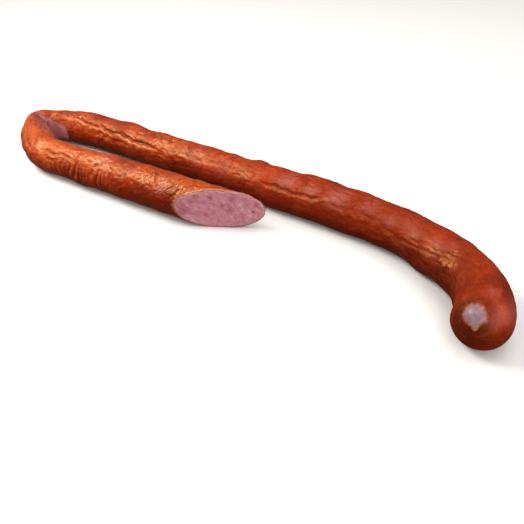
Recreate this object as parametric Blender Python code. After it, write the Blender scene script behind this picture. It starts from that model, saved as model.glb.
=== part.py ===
"""A smoked kielbasa: one long sausage doubled back on itself like a hairpin.

The front arm ends in a slanting knife cut. The bend is flattened inside, where the sausage
hung over the smoking stick, and the long back arm hooks forward to a round, puckered end.

Metres, +Z up. The back arm runs along X with the bend at -X, and the cut face looks to +X
and -Y. The sausage lies on Z = 0, and the origin is under the middle of its outer box.

Places on the casing are given as a distance along the centreline from the cut, and an angle
round the sausage for someone walking away from the cut: 0 is the left hand, 90 the top,
180 the right hand, which is the inside of the bend, and 270 the underside.
"""

from math import radians

import bpy
import numpy as np

NAME = "kielbasa"

# the centreline, seen from above
CUT_CENTRE = (0.0238, -0.0202)
LENGTH = 0.801  # from the cut to the tip of the round end
STUB = 0.040  # modelled past the cut, and then cut off
HEADING = 183.0  # degrees from +X at the cut
TURNS = (  # middle of the turn, its length, degrees to the left
    (0.2070, 0.030, -30.0),
    (0.2775, 0.063, -140.0),
    (0.3275, 0.135, -13.0),
    (0.6910, 0.148, -35.0),
    (0.7620, 0.070, -50.0),
)

# the casing's radius at even steps from the end of the stub to the round end
RADII = (0.0169, 0.0170, 0.0158, 0.0160, 0.0163, 0.0163, 0.0171, 0.0168, 0.0176)
SAG = 0.0006  # how far its own weight flattens the underside
CUT_ANGLE = 30.4  # the knife's line, degrees from +X

# gentle unevenness: height, length along, waves round, phase in degrees
LUMPS = (
    (0.00018, 0.043, 1, 20.0),
    (0.00014, 0.024, 2, 140.0),
)

# places where the filling bulges or has shrunk back: distance, angle, breadth, height
SWELLS = (
    (0.033, 125.0, 0.020, -0.0007),
    (0.122, 118.0, 0.030, 0.0008),
    (0.146, 310.0, 0.036, 0.0008),
    (0.160, 124.0, 0.034, -0.0006),
    (0.177, 308.0, 0.028, -0.0017),
    (0.236, 355.0, 0.032, 0.0010),
    (0.261, 31.0, 0.026, -0.0014),
    (0.274, 58.0, 0.036, 0.0028),
    (0.288, 80.0, 0.028, -0.0014),
    (0.301, 66.0, 0.032, -0.0020),
    (0.332, 62.0, 0.030, 0.0012),
    (0.387, 58.0, 0.034, 0.0012),
    (0.412, 59.0, 0.026, -0.0010),
    (0.487, 58.0, 0.038, 0.0008),
    (0.525, 60.0, 0.030, -0.0008),
    (0.541, 60.0, 0.022, 0.0012),
    (0.566, 230.0, 0.030, 0.0010),
    (0.602, 59.0, 0.048, 0.0011),
    (0.632, 233.0, 0.036, 0.0008),
    (0.659, 57.0, 0.036, -0.0012),
    (0.676, 230.0, 0.040, -0.0013),
    (0.688, 54.0, 0.030, -0.0007),
    (0.703, 226.0, 0.030, 0.0014),
    (0.719, 51.0, 0.034, 0.0007),
    (0.777, 10.0, 0.034, 0.0008),
)

# no relief on the underside: it grows from the lowest line up to this height, in radii
BARE_BELOW = 0.35

# long creases: depth, width, and places along as (distance, angle round)
CREASES = (
    (0.0009, 0.0055, ((0.335, 112.0), (0.352, 122.0), (0.375, 140.0), (0.437, 146.0))),
    (0.0007, 0.0050, ((0.552, 152.0), (0.600, 144.0), (0.616, 132.0))),
    (0.0008, 0.0055, ((0.665, 150.0), (0.700, 152.0), (0.724, 144.0))),
    (0.0006, 0.0050, ((0.698, 138.0), (0.730, 121.0))),
    (0.0007, 0.0055, ((0.198, 48.0), (0.176, 50.0), (0.158, 62.0))),
)

# the flat that the smoking stick left inside the bend: distance along, depth
STICK_FLAT = ((0.228, 0.0), (0.246, 0.0044), (0.275, 0.0040), (0.300, 0.0024), (0.311, 0.0020), (0.316, 0.0))
# the fold that runs from the flat up over the bend, and the degrees over which its ends fade
FOLD = (0.0016, 0.0080, ((0.258, 150.0), (0.262, 120.0), (0.272, 84.0), (0.276, 60.0)))
FOLD_FADES = (20.0, 40.0)  # at the flat, over the bend

# the gathered end: a dimple with a low button in it, facing up and forward
KNOT_RISE = 48.0  # degrees up from the centreline's own direction
KNOT_TURN = -9.0  # degrees to the left
DIMPLE_DEPTH = 0.0017
DIMPLE_REACH = 40.0  # degrees from its middle
BUTTON_HEIGHT = 0.0014
BUTTON_REACH = 24.0
KNOT_FADE = 2.0  # radii before the tip, where its relief starts

# how finely the casing is divided
SIDES = 32
STEP = 0.0066  # between sections
BEND_STEP = 0.0042  # in the sharp bend
BEND_FROM, BEND_TO = 0.235, 0.325
DOME_RINGS = 7
FINE_STEP = 0.0005  # for adding up the centreline

KNIFE_SIZE = (0.104, 0.060, 0.060)

CASING_COLOUR = (0.46, 0.085, 0.022, 1.0)
CASING_ROUGHNESS = 0.36
MEAT_COLOUR = (0.60, 0.27, 0.27, 1.0)
MEAT_ROUGHNESS = 0.55


def clear_scene():
    for old in list(bpy.data.objects):
        bpy.data.objects.remove(old, do_unlink=True)


def new_collection(name):
    collection = bpy.data.collections.new(name)
    bpy.context.scene.collection.children.link(collection)
    return collection


def plain_material(name, colour, roughness):
    material = bpy.data.materials.new(name)
    material.use_nodes = True
    shader = material.node_tree.nodes["Principled BSDF"]
    shader.inputs["Base Color"].default_value = colour
    shader.inputs["Roughness"].default_value = roughness
    shader.inputs["Metallic"].default_value = 0.0
    material.diffuse_color = colour
    return material


def ease(t):
    """0 up to t = 0, 1 from t = 1, and a smooth step between."""
    t = np.clip(t, 0.0, 1.0)
    return t * t * (3.0 - 2.0 * t)


def hump(distance, width):
    """1 at distance 0, falling smoothly to 0 at half the width."""
    return ease(1.0 - np.abs(distance) / (0.5 * width))


def heading(along):
    """The centreline's direction in radians, turning smoothly through each of TURNS."""
    angle = np.full(np.shape(along), radians(HEADING))
    for middle, length, degrees in TURNS:
        angle = angle + radians(degrees) * ease((along - middle) / length + 0.5)
    return angle


def walk_centreline():
    """Distances along, X and Y, added up from the heading in fine steps."""
    along = np.arange(-STUB, LENGTH + FINE_STEP, FINE_STEP)
    middle = heading(along[:-1] + 0.5 * FINE_STEP)
    x = np.concatenate(([0.0], np.cumsum(np.cos(middle)))) * FINE_STEP
    y = np.concatenate(([0.0], np.cumsum(np.sin(middle)))) * FINE_STEP
    x += CUT_CENTRE[0] - np.interp(0.0, along, x)
    y += CUT_CENTRE[1] - np.interp(0.0, along, y)
    return along, x, y


def casing_radius(along):
    steps = np.linspace(-STUB, LENGTH, len(RADII))
    return np.interp(along, steps, RADII)


def dome_factor(along):
    """1 along the sausage, then the quarter circle that rounds its end."""
    reach = RADII[-1]
    t = np.clip((along - (LENGTH - reach)) / reach, 0.0, 1.0)
    return np.sqrt(1.0 - t * t)


def lumps(along, around):
    """A few slow waves that run along and round the casing."""
    height = 0.0
    for size, length, waves, phase in LUMPS:
        height = height + size * np.sin(2.0 * np.pi * along / length + waves * around + radians(phase))
    return height


def swells(along, around):
    """Round bulges and hollows, each a hump of the distance from its middle."""
    height = 0.0
    for distance, angle, breadth, rise in SWELLS:
        turned = (around - radians(angle) + np.pi) % (2.0 * np.pi) - np.pi
        away = np.hypot(along - distance, casing_radius(along) * turned)
        height = height + rise * hump(away, breadth)
    return height


def groove(along, around, depth, width, places):
    """A crease along a line of places, fading out at both of its ends."""
    distances, angles = np.array(sorted(places)).T
    line = np.radians(np.interp(along, distances, angles))
    across = casing_radius(along) * (around - line)
    fade = ease((along - distances[0]) / width + 0.5) * ease((distances[-1] - along) / width + 0.5)
    return -depth * fade * hump(across, 2.0 * width)


def fold_groove(along, around):
    """The fold runs round the sausage, so its line is a distance for each angle."""
    depth, width, places = FOLD
    distances, angles = np.array(places)[::-1].T
    line = np.interp(np.degrees(around), angles, distances)
    turned = np.degrees(around)
    fade = ease((turned - angles[0]) / FOLD_FADES[1]) * ease((angles[-1] - turned) / FOLD_FADES[0] + 1.0)
    return -depth * fade * hump(along - line, 2.0 * width)


def knot_relief(along, around):
    """The dimple and its button, by the angle between a place on the dome and the knot."""
    reach = RADII[-1]
    forward = np.clip((along - (LENGTH - reach)) / reach, -1.0, 1.0)
    sideways = dome_factor(along)
    rise, turn = radians(KNOT_RISE), radians(KNOT_TURN)
    knot = (np.cos(rise) * np.cos(turn), np.cos(rise) * np.sin(turn), np.sin(rise))
    toward = forward * knot[0] + sideways * (np.cos(around) * knot[1] + np.sin(around) * knot[2])
    off = np.degrees(np.arccos(np.clip(toward, -1.0, 1.0)))
    on_dome = ease(2.0 * ((along - LENGTH) / reach + KNOT_FADE))
    dimple = -DIMPLE_DEPTH * hump(off, 2.0 * DIMPLE_REACH)
    button = BUTTON_HEIGHT * hump(off, 2.0 * BUTTON_REACH)
    return on_dome * (dimple + button)


def relief(along, around):
    """All that stands out of or dips into the casing, none of it on the underside."""
    height = lumps(along, around) + swells(along, around)
    for depth, width, places in CREASES:
        height = height + groove(along, around, depth, width, places)
    height = height + fold_groove(along, around)
    height = height + knot_relief(along, around)
    lifted = ease((np.sin(around) + 1.0) / BARE_BELOW)
    return height * lifted


def surface(along, around):
    """Places on the casing: a ring round the centreline, raised or lowered by the relief,
    flattened by the stick on its right hand side, and by its own weight at Z = 0."""
    path_along, path_x, path_y = walk_centreline()
    x = np.interp(along, path_along, path_x)
    y = np.interp(along, path_along, path_y)
    direction = heading(along)
    radius = (casing_radius(along) + relief(along, around)) * dome_factor(along)
    distances, depths = np.array(STICK_FLAT).T
    flat = casing_radius(along) - np.interp(along, distances, depths)
    left = np.maximum(radius * np.cos(around), -flat)
    up = casing_radius(along) - SAG + radius * np.sin(around)
    return np.stack((x - np.sin(direction) * left, y + np.cos(direction) * left, np.maximum(up, 0.0)), axis=-1)


def sections():
    """Distances along of the rings: closer in the bend, and by even angles on the dome."""
    dome_start = LENGTH - RADII[-1]
    before = np.linspace(-STUB, BEND_FROM, round((BEND_FROM + STUB) / STEP), endpoint=False)
    bend = np.linspace(BEND_FROM, BEND_TO, round((BEND_TO - BEND_FROM) / BEND_STEP), endpoint=False)
    after = np.linspace(BEND_TO, dome_start, round((dome_start - BEND_TO) / STEP), endpoint=False)
    angles = np.linspace(0.0, 0.5 * np.pi, DOME_RINGS, endpoint=False)
    return np.concatenate((before, bend, after, dome_start + RADII[-1] * np.sin(angles)))


def loft_casing(name):
    """Rings of SIDES points with quads between them, a cap on the stub and a tip on the dome."""
    around = np.linspace(0.0, 2.0 * np.pi, SIDES, endpoint=False)
    along, angle = np.meshgrid(sections(), around, indexing="ij")
    rings = surface(along, angle)
    tip = surface(np.array([LENGTH]), np.array([0.0]))
    points = np.concatenate((rings.reshape(-1, 3), tip))

    count = len(rings)
    corner = np.arange(count * SIDES).reshape(count, SIDES)
    beside = np.roll(corner, -1, axis=1)
    quads = np.stack((corner[:-1], beside[:-1], beside[1:], corner[1:]), axis=-1).reshape(-1, 4)
    tip_index = count * SIDES
    faces = [tuple(face) for face in quads.tolist()]
    faces += [(a, b, tip_index) for a, b in zip(corner[-1].tolist(), beside[-1].tolist())]
    faces.append(tuple(corner[0][::-1].tolist()))

    mesh = bpy.data.meshes.new(name)
    mesh.from_pydata(points.tolist(), [], faces)
    mesh.validate()
    return mesh


def make_knife(collection, materials):
    """A box whose inner face is the knife's cut. Its faces carry the meat's material."""
    bpy.ops.mesh.primitive_cube_add(size=1.0)
    knife = bpy.context.active_object
    knife.name = "knife"
    for other in knife.users_collection:
        other.objects.unlink(knife)
    collection.objects.link(knife)
    knife.scale = KNIFE_SIZE
    knife.rotation_euler.z = radians(CUT_ANGLE)
    away = radians(CUT_ANGLE - 90.0)
    reach = 0.5 * KNIFE_SIZE[1]
    knife.location = (
        CUT_CENTRE[0] + reach * np.cos(away),
        CUT_CENTRE[1] + reach * np.sin(away),
        RADII[0],
    )
    for material in materials:
        knife.data.materials.append(material)
    for face in knife.data.polygons:
        face.material_index = 1
    knife.hide_render = True
    knife.display_type = "WIRE"
    return knife


def make_kielbasa(collection, knife, materials):
    mesh = loft_casing(NAME)
    for material in materials:
        mesh.materials.append(material)
    mesh.shade_smooth()
    sausage = bpy.data.objects.new(NAME, mesh)
    collection.objects.link(sausage)
    cut = sausage.modifiers.new("slanting cut", "BOOLEAN")
    cut.operation = "DIFFERENCE"
    cut.solver = "EXACT"
    cut.object = knife
    return sausage


clear_scene()
parts = new_collection(NAME)
cutters = new_collection("cutters")
casing = plain_material("smoked casing", CASING_COLOUR, CASING_ROUGHNESS)
meat = plain_material("cut meat", MEAT_COLOUR, MEAT_ROUGHNESS)
knife_box = make_knife(cutters, (casing, meat))
make_kielbasa(parts, knife_box, (casing, meat))
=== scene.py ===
from math import cos, radians, sin

import bpy
import numpy as np
from mathutils import Matrix


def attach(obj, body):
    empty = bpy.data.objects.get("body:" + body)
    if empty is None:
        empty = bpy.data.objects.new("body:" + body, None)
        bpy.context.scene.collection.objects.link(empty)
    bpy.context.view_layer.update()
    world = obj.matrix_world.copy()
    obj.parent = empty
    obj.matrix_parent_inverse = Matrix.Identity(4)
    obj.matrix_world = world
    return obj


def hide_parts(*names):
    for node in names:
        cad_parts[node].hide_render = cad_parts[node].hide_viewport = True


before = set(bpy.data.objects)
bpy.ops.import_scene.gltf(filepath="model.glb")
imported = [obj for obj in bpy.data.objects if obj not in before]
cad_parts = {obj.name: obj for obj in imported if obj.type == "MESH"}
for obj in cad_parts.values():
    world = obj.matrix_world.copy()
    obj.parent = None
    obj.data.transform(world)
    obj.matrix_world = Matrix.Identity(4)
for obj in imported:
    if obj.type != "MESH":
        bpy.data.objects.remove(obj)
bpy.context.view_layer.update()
print("frame loaded:", sorted(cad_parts))


# Small helpers for shapes

def ease(t):  # 0 up to t = 0, 1 from t = 1, and t*t*(3 - 2t) between
    t = np.clip(t, 0.0, 1.0)
    return t * t * (3.0 - 2.0 * t)


def hump(distance, width):  # 1 at distance 0, eased down to 0 at half the width
    return ease(1.0 - np.abs(distance) / (0.5 * width))


def bell(distance, width):  # e to the minus (distance / width) squared
    return np.exp(-((distance / width) ** 2))


def buildMesh(name, points, faceSets, material, pointValues=None, cornerUv=None):
    # faceSets are arrays of indices, pointValues arrays of one number a point, by attribute name
    mesh = bpy.data.meshes.new(name)
    mesh.from_pydata(points.tolist(), [], [face for faces in faceSets for face in faces.tolist()])
    for label, values in (pointValues or {}).items():
        numbers = values.astype(np.float32).ravel()
        mesh.attributes.new(label, "FLOAT", "POINT").data.foreach_set("value", numbers)
    if cornerUv is not None:
        layer = mesh.uv_layers.new(name="casingUv")
        layer.data.foreach_set("uv", cornerUv.astype(np.float32).ravel())
    mesh.shade_smooth()
    mesh.materials.append(material)
    piece = bpy.data.objects.new(name, mesh)
    bpy.context.scene.collection.objects.link(piece)
    return piece


def ringFaces(corner, order=(0, 1, 2, 3)):
    # quads between the rows of a grid of indices whose rows close round, with their corners in order
    beside = np.roll(corner, -1, axis=1)
    quads = np.stack((corner[:-1], beside[:-1], beside[1:], corner[1:]), axis=-1)
    return quads.reshape(-1, 4)[:, order]


def fanFaces(ring, tip, outward=True):
    # triangles from each side of a closed ring of indices to one tip
    beside = np.roll(ring, -1)
    first, second = (ring, beside) if outward else (beside, ring)
    return np.stack((first, second, np.full(len(ring), tip)), axis=-1)


# The sausage's line and thickness, the same as the solid's

sausage = {
    "cutCentre": (0.0238, -0.0202),
    "length": 0.801,  # from the cut to the tip of the round end
    "stub": 0.040,  # how far its sizes are known past the cut
    "heading": 183.0,  # degrees from +X at the cut
    "turns": (  # middle of the turn, its length, degrees to the left
        (0.207, 0.03, -30.0),
        (0.2775, 0.063, -140.0),
        (0.3275, 0.135, -13.0),
        (0.691, 0.148, -35.0),
        (0.762, 0.07, -50.0),
    ),
    "radii": (0.0169, 0.017, 0.0158, 0.016, 0.0163, 0.0163, 0.0171, 0.0168, 0.0176),
    "meanRadius": 0.0166,
    "sag": 0.0006,  # how far its own weight flattens the underside
    "cutAngle": 30.4,  # degrees from +X of the knife's line
    "fineStep": 0.0005,
}

endRadius = sausage["radii"][-1]

# a place on the casing is a distance along the line from the cut, and an angle round it for someone
# who walks away from the cut: 0 the left hand, 90 the top, 180 the right hand, 270 the underside


def heading(along):  # the first heading and every turn so far, each turn eased over its length
    angle = np.full(np.shape(along), radians(sausage["heading"]))
    for middle, length, degrees in sausage["turns"]:
        angle = angle + radians(degrees) * ease((along - middle) / length + 0.5)
    return angle


def walkLine():
    # x and y are the running sums of cos and sin of the heading, moved so that 0 is at the cut
    step = sausage["fineStep"]
    along = np.arange(-sausage["stub"], sausage["length"] + step, step)
    middle = heading(along[:-1] + 0.5 * step)
    x = np.concatenate(([0.0], np.cumsum(np.cos(middle)))) * step
    y = np.concatenate(([0.0], np.cumsum(np.sin(middle)))) * step
    x += sausage["cutCentre"][0] - np.interp(0.0, along, x)
    y += sausage["cutCentre"][1] - np.interp(0.0, along, y)
    return along, x, y


line = walkLine()


def casingRadius(along):  # straight lines between the radii, which stand at even steps
    steps = np.linspace(-sausage["stub"], sausage["length"], len(sausage["radii"]))
    return np.interp(along, steps, sausage["radii"])


def domeFactor(along):  # 1, then the quarter circle over the last radius of the length
    t = np.clip((along - (sausage["length"] - endRadius)) / endRadius, 0.0, 1.0)
    return np.sqrt(1.0 - t * t)


def nearTurn(around, middle):  # the angle, brought to within half a turn of the middle
    return middle + (around - middle + np.pi) % (2.0 * np.pi) - np.pi


def turnFrom(around, degrees):  # how many degrees round a place is from that angle, the short way
    return np.degrees(nearTurn(around, radians(degrees))) - degrees


def grown(value, form):  # the form's amount, eased in from its start over its length
    amount, start, length = form
    return amount * ease((value - start) / length)


def sines(angle, table, base=0.0):  # the base and a sum of sines: waves round, phase, height
    return sum((height * np.sin(count * angle + phase) for count, phase, height in table), base)


def randomWaves(size, seed, waves):  # the directions, lengths and phases of waves of about one size
    rng = np.random.default_rng(seed)
    direction = rng.uniform(0.0, np.pi, waves)
    length = size * rng.uniform(0.7, 1.4, waves)
    return direction, length, rng.uniform(0.0, 2.0 * np.pi, waves)


def waveNoise(along, around, size, seed, stretch=1.0, waves=26):
    # the sum of cosine waves, drawn out along the sausage by the stretch and with whole numbers of
    # them round the casing, divided by its usual height
    direction, length, phase = randomWaves(size, seed, waves)
    turns = np.round(2.0 * np.pi * sausage["meanRadius"] / length * np.sin(direction))
    rate = 2.0 * np.pi * np.cos(direction) / (length * stretch)
    total = 0.0
    for r, t, p in zip(rate, turns, phase):
        total = total + np.cos(r * along + t * around + p)
    return total / np.sqrt(0.5 * waves)


# The large relief, the same as the solid's, but for the knot, which is turned by a few degrees more

relief = {
    "lumps": (  # height, length along, waves round, phase in degrees
        (0.00018, 0.043, 1, 20.0),
        (0.00014, 0.024, 2, 140.0),
    ),
    "swells": (  # distance, angle, breadth, height
        (0.033, 125, 0.02, -0.0007), (0.122, 118, 0.03, 0.0008), (0.146, 310, 0.036, 0.0008),
        (0.16, 124, 0.034, -0.0006), (0.177, 308, 0.028, -0.0017), (0.236, 355, 0.032, 0.001),
        (0.261, 31, 0.026, -0.0014), (0.274, 58, 0.036, 0.0028), (0.288, 80, 0.028, -0.0014),
        (0.301, 66, 0.032, -0.002), (0.332, 62, 0.03, 0.0012), (0.387, 58, 0.034, 0.0012),
        (0.412, 59, 0.026, -0.001), (0.487, 58, 0.038, 0.0008), (0.525, 60, 0.03, -0.0008),
        (0.541, 60, 0.022, 0.0012), (0.566, 230, 0.03, 0.001), (0.602, 59, 0.048, 0.0011),
        (0.632, 233, 0.036, 0.0008), (0.659, 57, 0.036, -0.0012), (0.676, 230, 0.04, -0.0013),
        (0.688, 54, 0.03, -0.0007), (0.703, 226, 0.03, 0.0014), (0.719, 51, 0.034, 0.0007),
        (0.777, 10, 0.034, 0.0008),
    ),
    "stickFlat": (  # distance, depth
        (0.228, 0.0), (0.246, 0.0044), (0.275, 0.004), (0.3, 0.0024), (0.311, 0.002), (0.316, 0.0),
    ),
    "flatSlope": 0.10,  # share of the round form that the flat keeps
    "flatHollows": 0.5,  # share of the relief's hollows that the flat keeps
    "bareBelow": 0.35,  # height in radii over which the relief grows from nothing underneath
}

knot = {
    "rise": 44.0,  # degrees up from the line's own direction at the round end
    "turn": -15.0,  # degrees to the left
    "dimpleDepth": 0.0017,
    "dimpleReach": 40.0,  # degrees from its middle
    "buttonHeight": 0.0014,
    "buttonReach": 24.0,
    "fade": 2.0,  # radii before the tip, where its relief starts
    "puckers": 17,  # folds of casing that run in to it
    "puckerDepth": 0.00022,
    "puckerRing": (34.0, 11.0),  # degrees from its middle where they are deepest, and breadth
    "puckerSway": 1.3,  # radians that they lean to and fro
}


def bumps(along, around, table):  # each is a hump of the unrolled distance from its middle
    height = 0.0
    for distance, angle, breadth, rise in table:
        turned = nearTurn(around, radians(angle)) - radians(angle)
        away = np.hypot(along - distance, casingRadius(along) * turned)
        height = height + rise * hump(away, breadth)
    return height


def knotAxes():
    # the way to the knot as (forward, left, up), and the level and the upright way across it
    rise, turn = radians(knot["rise"]), radians(knot["turn"])
    return np.array((
        (cos(rise) * cos(turn), cos(rise) * sin(turn), sin(rise)),
        (-sin(turn), cos(turn), 0.0),
        (-sin(rise) * cos(turn), -sin(rise) * sin(turn), cos(rise)),
    ))


def knotPlace(along, around):
    # on the dome, the angle in degrees between a place and the knot, and the turn round the knot
    forward = np.clip((along - (sausage["length"] - endRadius)) / endRadius, -1.0, 1.0)
    sideways = domeFactor(along)
    left, up = sideways * np.cos(around), sideways * np.sin(around)
    toward, level, upright = (forward * a[0] + left * a[1] + up * a[2] for a in knotAxes())
    return np.degrees(np.arccos(np.clip(toward, -1.0, 1.0))), np.arctan2(upright, level)


def knotRelief(along, around):  # a dimple with a low button, and puckers that fan out from them
    off, spin = knotPlace(along, around)
    onDome = ease(2.0 * ((along - sausage["length"]) / endRadius + knot["fade"]))
    dimple = -knot["dimpleDepth"] * hump(off, 2.0 * knot["dimpleReach"])
    button = knot["buttonHeight"] * hump(off, 2.0 * knot["buttonReach"])
    middle, width = knot["puckerRing"]
    sway = knot["puckerSway"] * np.cos(3.0 * spin + off / 14.0)
    puckers = knot["puckerDepth"] * bell(off - middle, width) * np.cos(knot["puckers"] * spin + sway)
    return onDome * (dimple + button + puckers)


# Creases: lines of places on the casing, each with a valley and a raised lip

creases = {
    # depth, half width, height of the lip (to the right if below zero), places (distance, angle)
    "backArmWavy": (0.0014, 0.0013, 0.0010, (
        (0.318, 112), (0.332, 122), (0.344, 131), (0.355, 136), (0.362, 130), (0.37, 135),
        (0.379, 141), (0.388, 133), (0.395, 138), (0.405, 146), (0.413, 144), (0.43, 145),
        (0.44, 147),
    )),
    "backArmLower": (0.0004, 0.0015, 0.0004, (
        (0.345, 142), (0.36, 152), (0.378, 160), (0.396, 158), (0.416, 166),
    )),
    "crossA": (0.0005, 0.0009, 0.0003, ((0.352, 134), (0.357, 124), (0.359, 112))),
    "crossB": (0.0004, 0.0009, 0.0003, ((0.35, 118), (0.358, 127), (0.366, 121))),
    "middleA": (0.0004, 0.0016, 0.0003, ((0.452, 140), (0.47, 134), (0.49, 140), (0.508, 133))),
    "middleB": (0.0004, 0.0014, 0.0003, ((0.49, 124), (0.503, 131), (0.518, 129))),
    "longDark": (0.0011, 0.0011, 0.0005, (
        (0.556, 142), (0.566, 145), (0.574, 144), (0.584, 147), (0.594, 147), (0.605, 147),
        (0.612, 138), (0.613, 124),
    )),
    "longAfter": (0.0004, 0.0014, 0.0003, ((0.618, 146), (0.64, 142), (0.664, 143))),
    "endUpper": (0.0007, 0.0010, 0.0003, (
        (0.694, 148), (0.701, 145), (0.708, 138), (0.718, 130), (0.725, 126), (0.735, 117),
    )),
    "endLower": (0.0007, 0.0011, 0.0003, (
        (0.668, 152), (0.68, 158), (0.69, 161), (0.7, 157), (0.712, 152), (0.726, 143),
    )),
    "frontUpper": (0.0009, 0.0013, -0.0006, (
        (0.196, 50), (0.186, 51), (0.176, 45), (0.166, 51), (0.154, 47),
    )),
    "frontLower": (0.0004, 0.0013, -0.0004, ((0.19, 26), (0.178, 24), (0.168, 33), (0.156, 28))),
    "frontVLeft": (0.0006, 0.0011, 0.0003, ((0.136, 62), (0.129, 54), (0.121, 44))),
    "frontVRight": (0.0006, 0.0011, -0.0003, ((0.117, 70), (0.119, 60), (0.122, 45))),
    "nearCutDark": (0.0006, 0.001, 0.0004, ((0.062, 92), (0.056, 66), (0.05, 34))),
    "nearCutA": (-0.0009, 0.0008, 0.0001, ((0.0245, 66), (0.0255, 50), (0.027, 32))),
    "nearCutB": (-0.001, 0.0008, 0.0001, ((0.029, 72), (0.0285, 50), (0.0305, 22))),
    "nearCutC": (-0.001, 0.0008, 0.0001, ((0.033, 70), (0.0335, 52), (0.035, 34))),
    "hookA": (0.0005, 0.0011, 0.0001, ((0.748, 153), (0.754, 158), (0.762, 163), (0.772, 168))),
    "hookB": (0.0005, 0.0011, 0.0002, ((0.751, 140), (0.766, 150), (0.782, 154))),
    "hookC": (0.0004, 0.0011, 0.0002, ((0.758, 134), (0.77, 142), (0.781, 149))),
    "hookArcA": (0.0005, 0.0015, 0.0002, ((0.765, 143), (0.769, 122), (0.771, 104), (0.769, 84))),
    "hookArcB": (0.0004, 0.0015, 0.0002, ((0.776, 130), (0.777, 108), (0.774, 86), (0.77, 62))),
    "bendTopA": (0.0004, 0.0014, 0.0003, ((0.292, 132), (0.304, 124), (0.318, 121))),
    "bendSideA": (0.0004, 0.0014, 0.0003, ((0.222, 46), (0.21, 40), (0.201, 30))),
}

broadFolds = {  # written the same way. A depth below zero is a ridge.
    "bendFold": (0.0014, 0.0030, 0.0004, (
        (0.258, 150), (0.261, 128), (0.268, 100), (0.274, 76), (0.276, 58),
    )),
    "bendRidge": (-0.0009, 0.0034, 0.0001, ((0.274, 108), (0.29, 116), (0.301, 123), (0.316, 131))),
    "frontHollow": (0.0012, 0.0055, 0.0001, (
        (0.218, 52), (0.198, 59), (0.178, 58), (0.16, 57), (0.146, 46),
    )),
}


def unrolledLine(along, around, places):
    # unrolled, the distance from a line of places, positive on its left, and the share of the line
    # passed at the nearest point
    middle = radians(sum(angle for _, angle in places) / len(places))
    across = sausage["meanRadius"] * nearTurn(around, middle)
    corners = np.array(places, float) * (1.0, radians(1.0) * sausage["meanRadius"])
    steps = np.hypot(*np.diff(corners, axis=0).T)
    passed = np.concatenate(([0.0], np.cumsum(steps)))
    nearest = np.full(np.shape(along), 9.0)
    offset, share = nearest.copy(), np.zeros(np.shape(along))
    for start, way, size, before in zip(corners[:-1], np.diff(corners, axis=0), steps, passed):
        t = np.clip(((along - start[0]) * way[0] + (across - start[1]) * way[1]) / size**2, 0.0, 1.0)
        dx, dy = along - start[0] - t * way[0], across - start[1] - t * way[1]
        distance = np.hypot(dx, dy)
        closer = distance < nearest
        nearest = np.where(closer, distance, nearest)
        offset = np.where(closer, np.copysign(distance, way[0] * dy - way[1] * dx), offset)
        share = np.where(closer, (before + t * size) / passed[-1], share)
    return offset, share


creaseForm = {
    "wobble": 0.0006,  # how far the lines stray
    "lipAway": 2.4,  # from the middle of the valley, in its half widths
    "lipWidth": 1.6,
    "ends": (5.0, 0.25),  # how soon the depth grows from an end, and how much of it the end has
}


def creaseRelief(along, around, wobble, table):
    # each valley is a bell of the distance from its line, and its lip a wider bell beside it
    growth, atEnd = creaseForm["ends"]
    height = np.zeros(np.shape(along))
    for depth, width, lip, places in table.values():
        offset, share = unrolledLine(along, around, places)
        offset = offset + creaseForm["wobble"] * wobble
        taper = ease(growth * np.minimum(share, 1.0 - share) + atEnd)
        side = np.sign(lip) * creaseForm["lipAway"] * width
        raisedLip = abs(lip) * bell(offset - side, creaseForm["lipWidth"] * width)
        height += taper * (-depth * bell(offset, width) + raisedLip)
    return height


# Fine relief: shrivelled skin

skin = {
    "rings": 690,  # sections along the casing
    "sides": 142,
    "domeRings": 26,
    "ringsByCut": (1.2, 0.022),  # how much closer they stand beside the cut, and for how far
    "valleySize": 0.0100,  # size of the lumps between wrinkles
    "valleyDepth": 0.00060,
    "valleySharpness": 0.34,
    "fineSize": 0.0062,
    "fineDepth": 0.00024,
    "fineSharpness": 0.45,
    "calm": (  # distance, share of the fine relief that is kept
        (0.0, 0.9), (0.24, 0.8), (0.27, 0.45), (0.3, 0.9), (0.56, 1.0),
        (0.66, 0.9), (0.77, 0.6), (0.785, 0.25), (0.8, 0.12),
    ),
    "patchSize": 0.065,
    "lumpSize": 0.016,
    "lumpHeight": 0.00016,
    "wobbleSize": 0.012,
    "crossFrom": 0.085,  # wrinkles that run round the front arm
    "crossTo": 0.185,
    "crossAngle": 4.0,
    "crossReach": 60.0,  # degrees to each side
    "crossStep": 0.0057,
    "crossDepth": 0.00150,
    "crossLean": 0.00006,  # metres along for each degree round
    "crossPatch": 0.020,  # size of the places where they are stronger and weaker
    "lowShare": 0.45,  # of the fine relief, left low down
    "toneDepth": 0.0008,  # relief that counts as 1 in the colours
    "pimples": (  # distance, angle, breadth, height
        (0.307, 124, 0.012, 0.0008), (0.323, 124, 0.01, 0.0006), (0.36, 114, 0.01, 0.0006),
        (0.374, 122, 0.011, 0.0007), (0.392, 121, 0.01, 0.0006), (0.411, 132, 0.011, 0.0006),
        (0.441, 137, 0.012, 0.0008), (0.146, 60, 0.01, 0.0005), (0.102, 52, 0.012, 0.0006),
        (0.074, 50, 0.012, 0.0006), (0.164, 64, 0.012, 0.0006),
    ),
    "specks": (  # small ones, whose tops are painted pale as highlights, written the same way
        (0.617, 139, 0.009, 0.0007), (0.732, 150, 0.006, 0.0007), (0.737, 143, 0.006, 0.0007),
        (0.741, 135, 0.006, 0.0006), (0.717, 141, 0.006, 0.0007), (0.714, 137, 0.005, 0.0006),
        (0.727, 146, 0.006, 0.0006), (0.722, 137, 0.006, 0.0006), (0.732, 114, 0.006, 0.0006),
    ),
}


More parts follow.
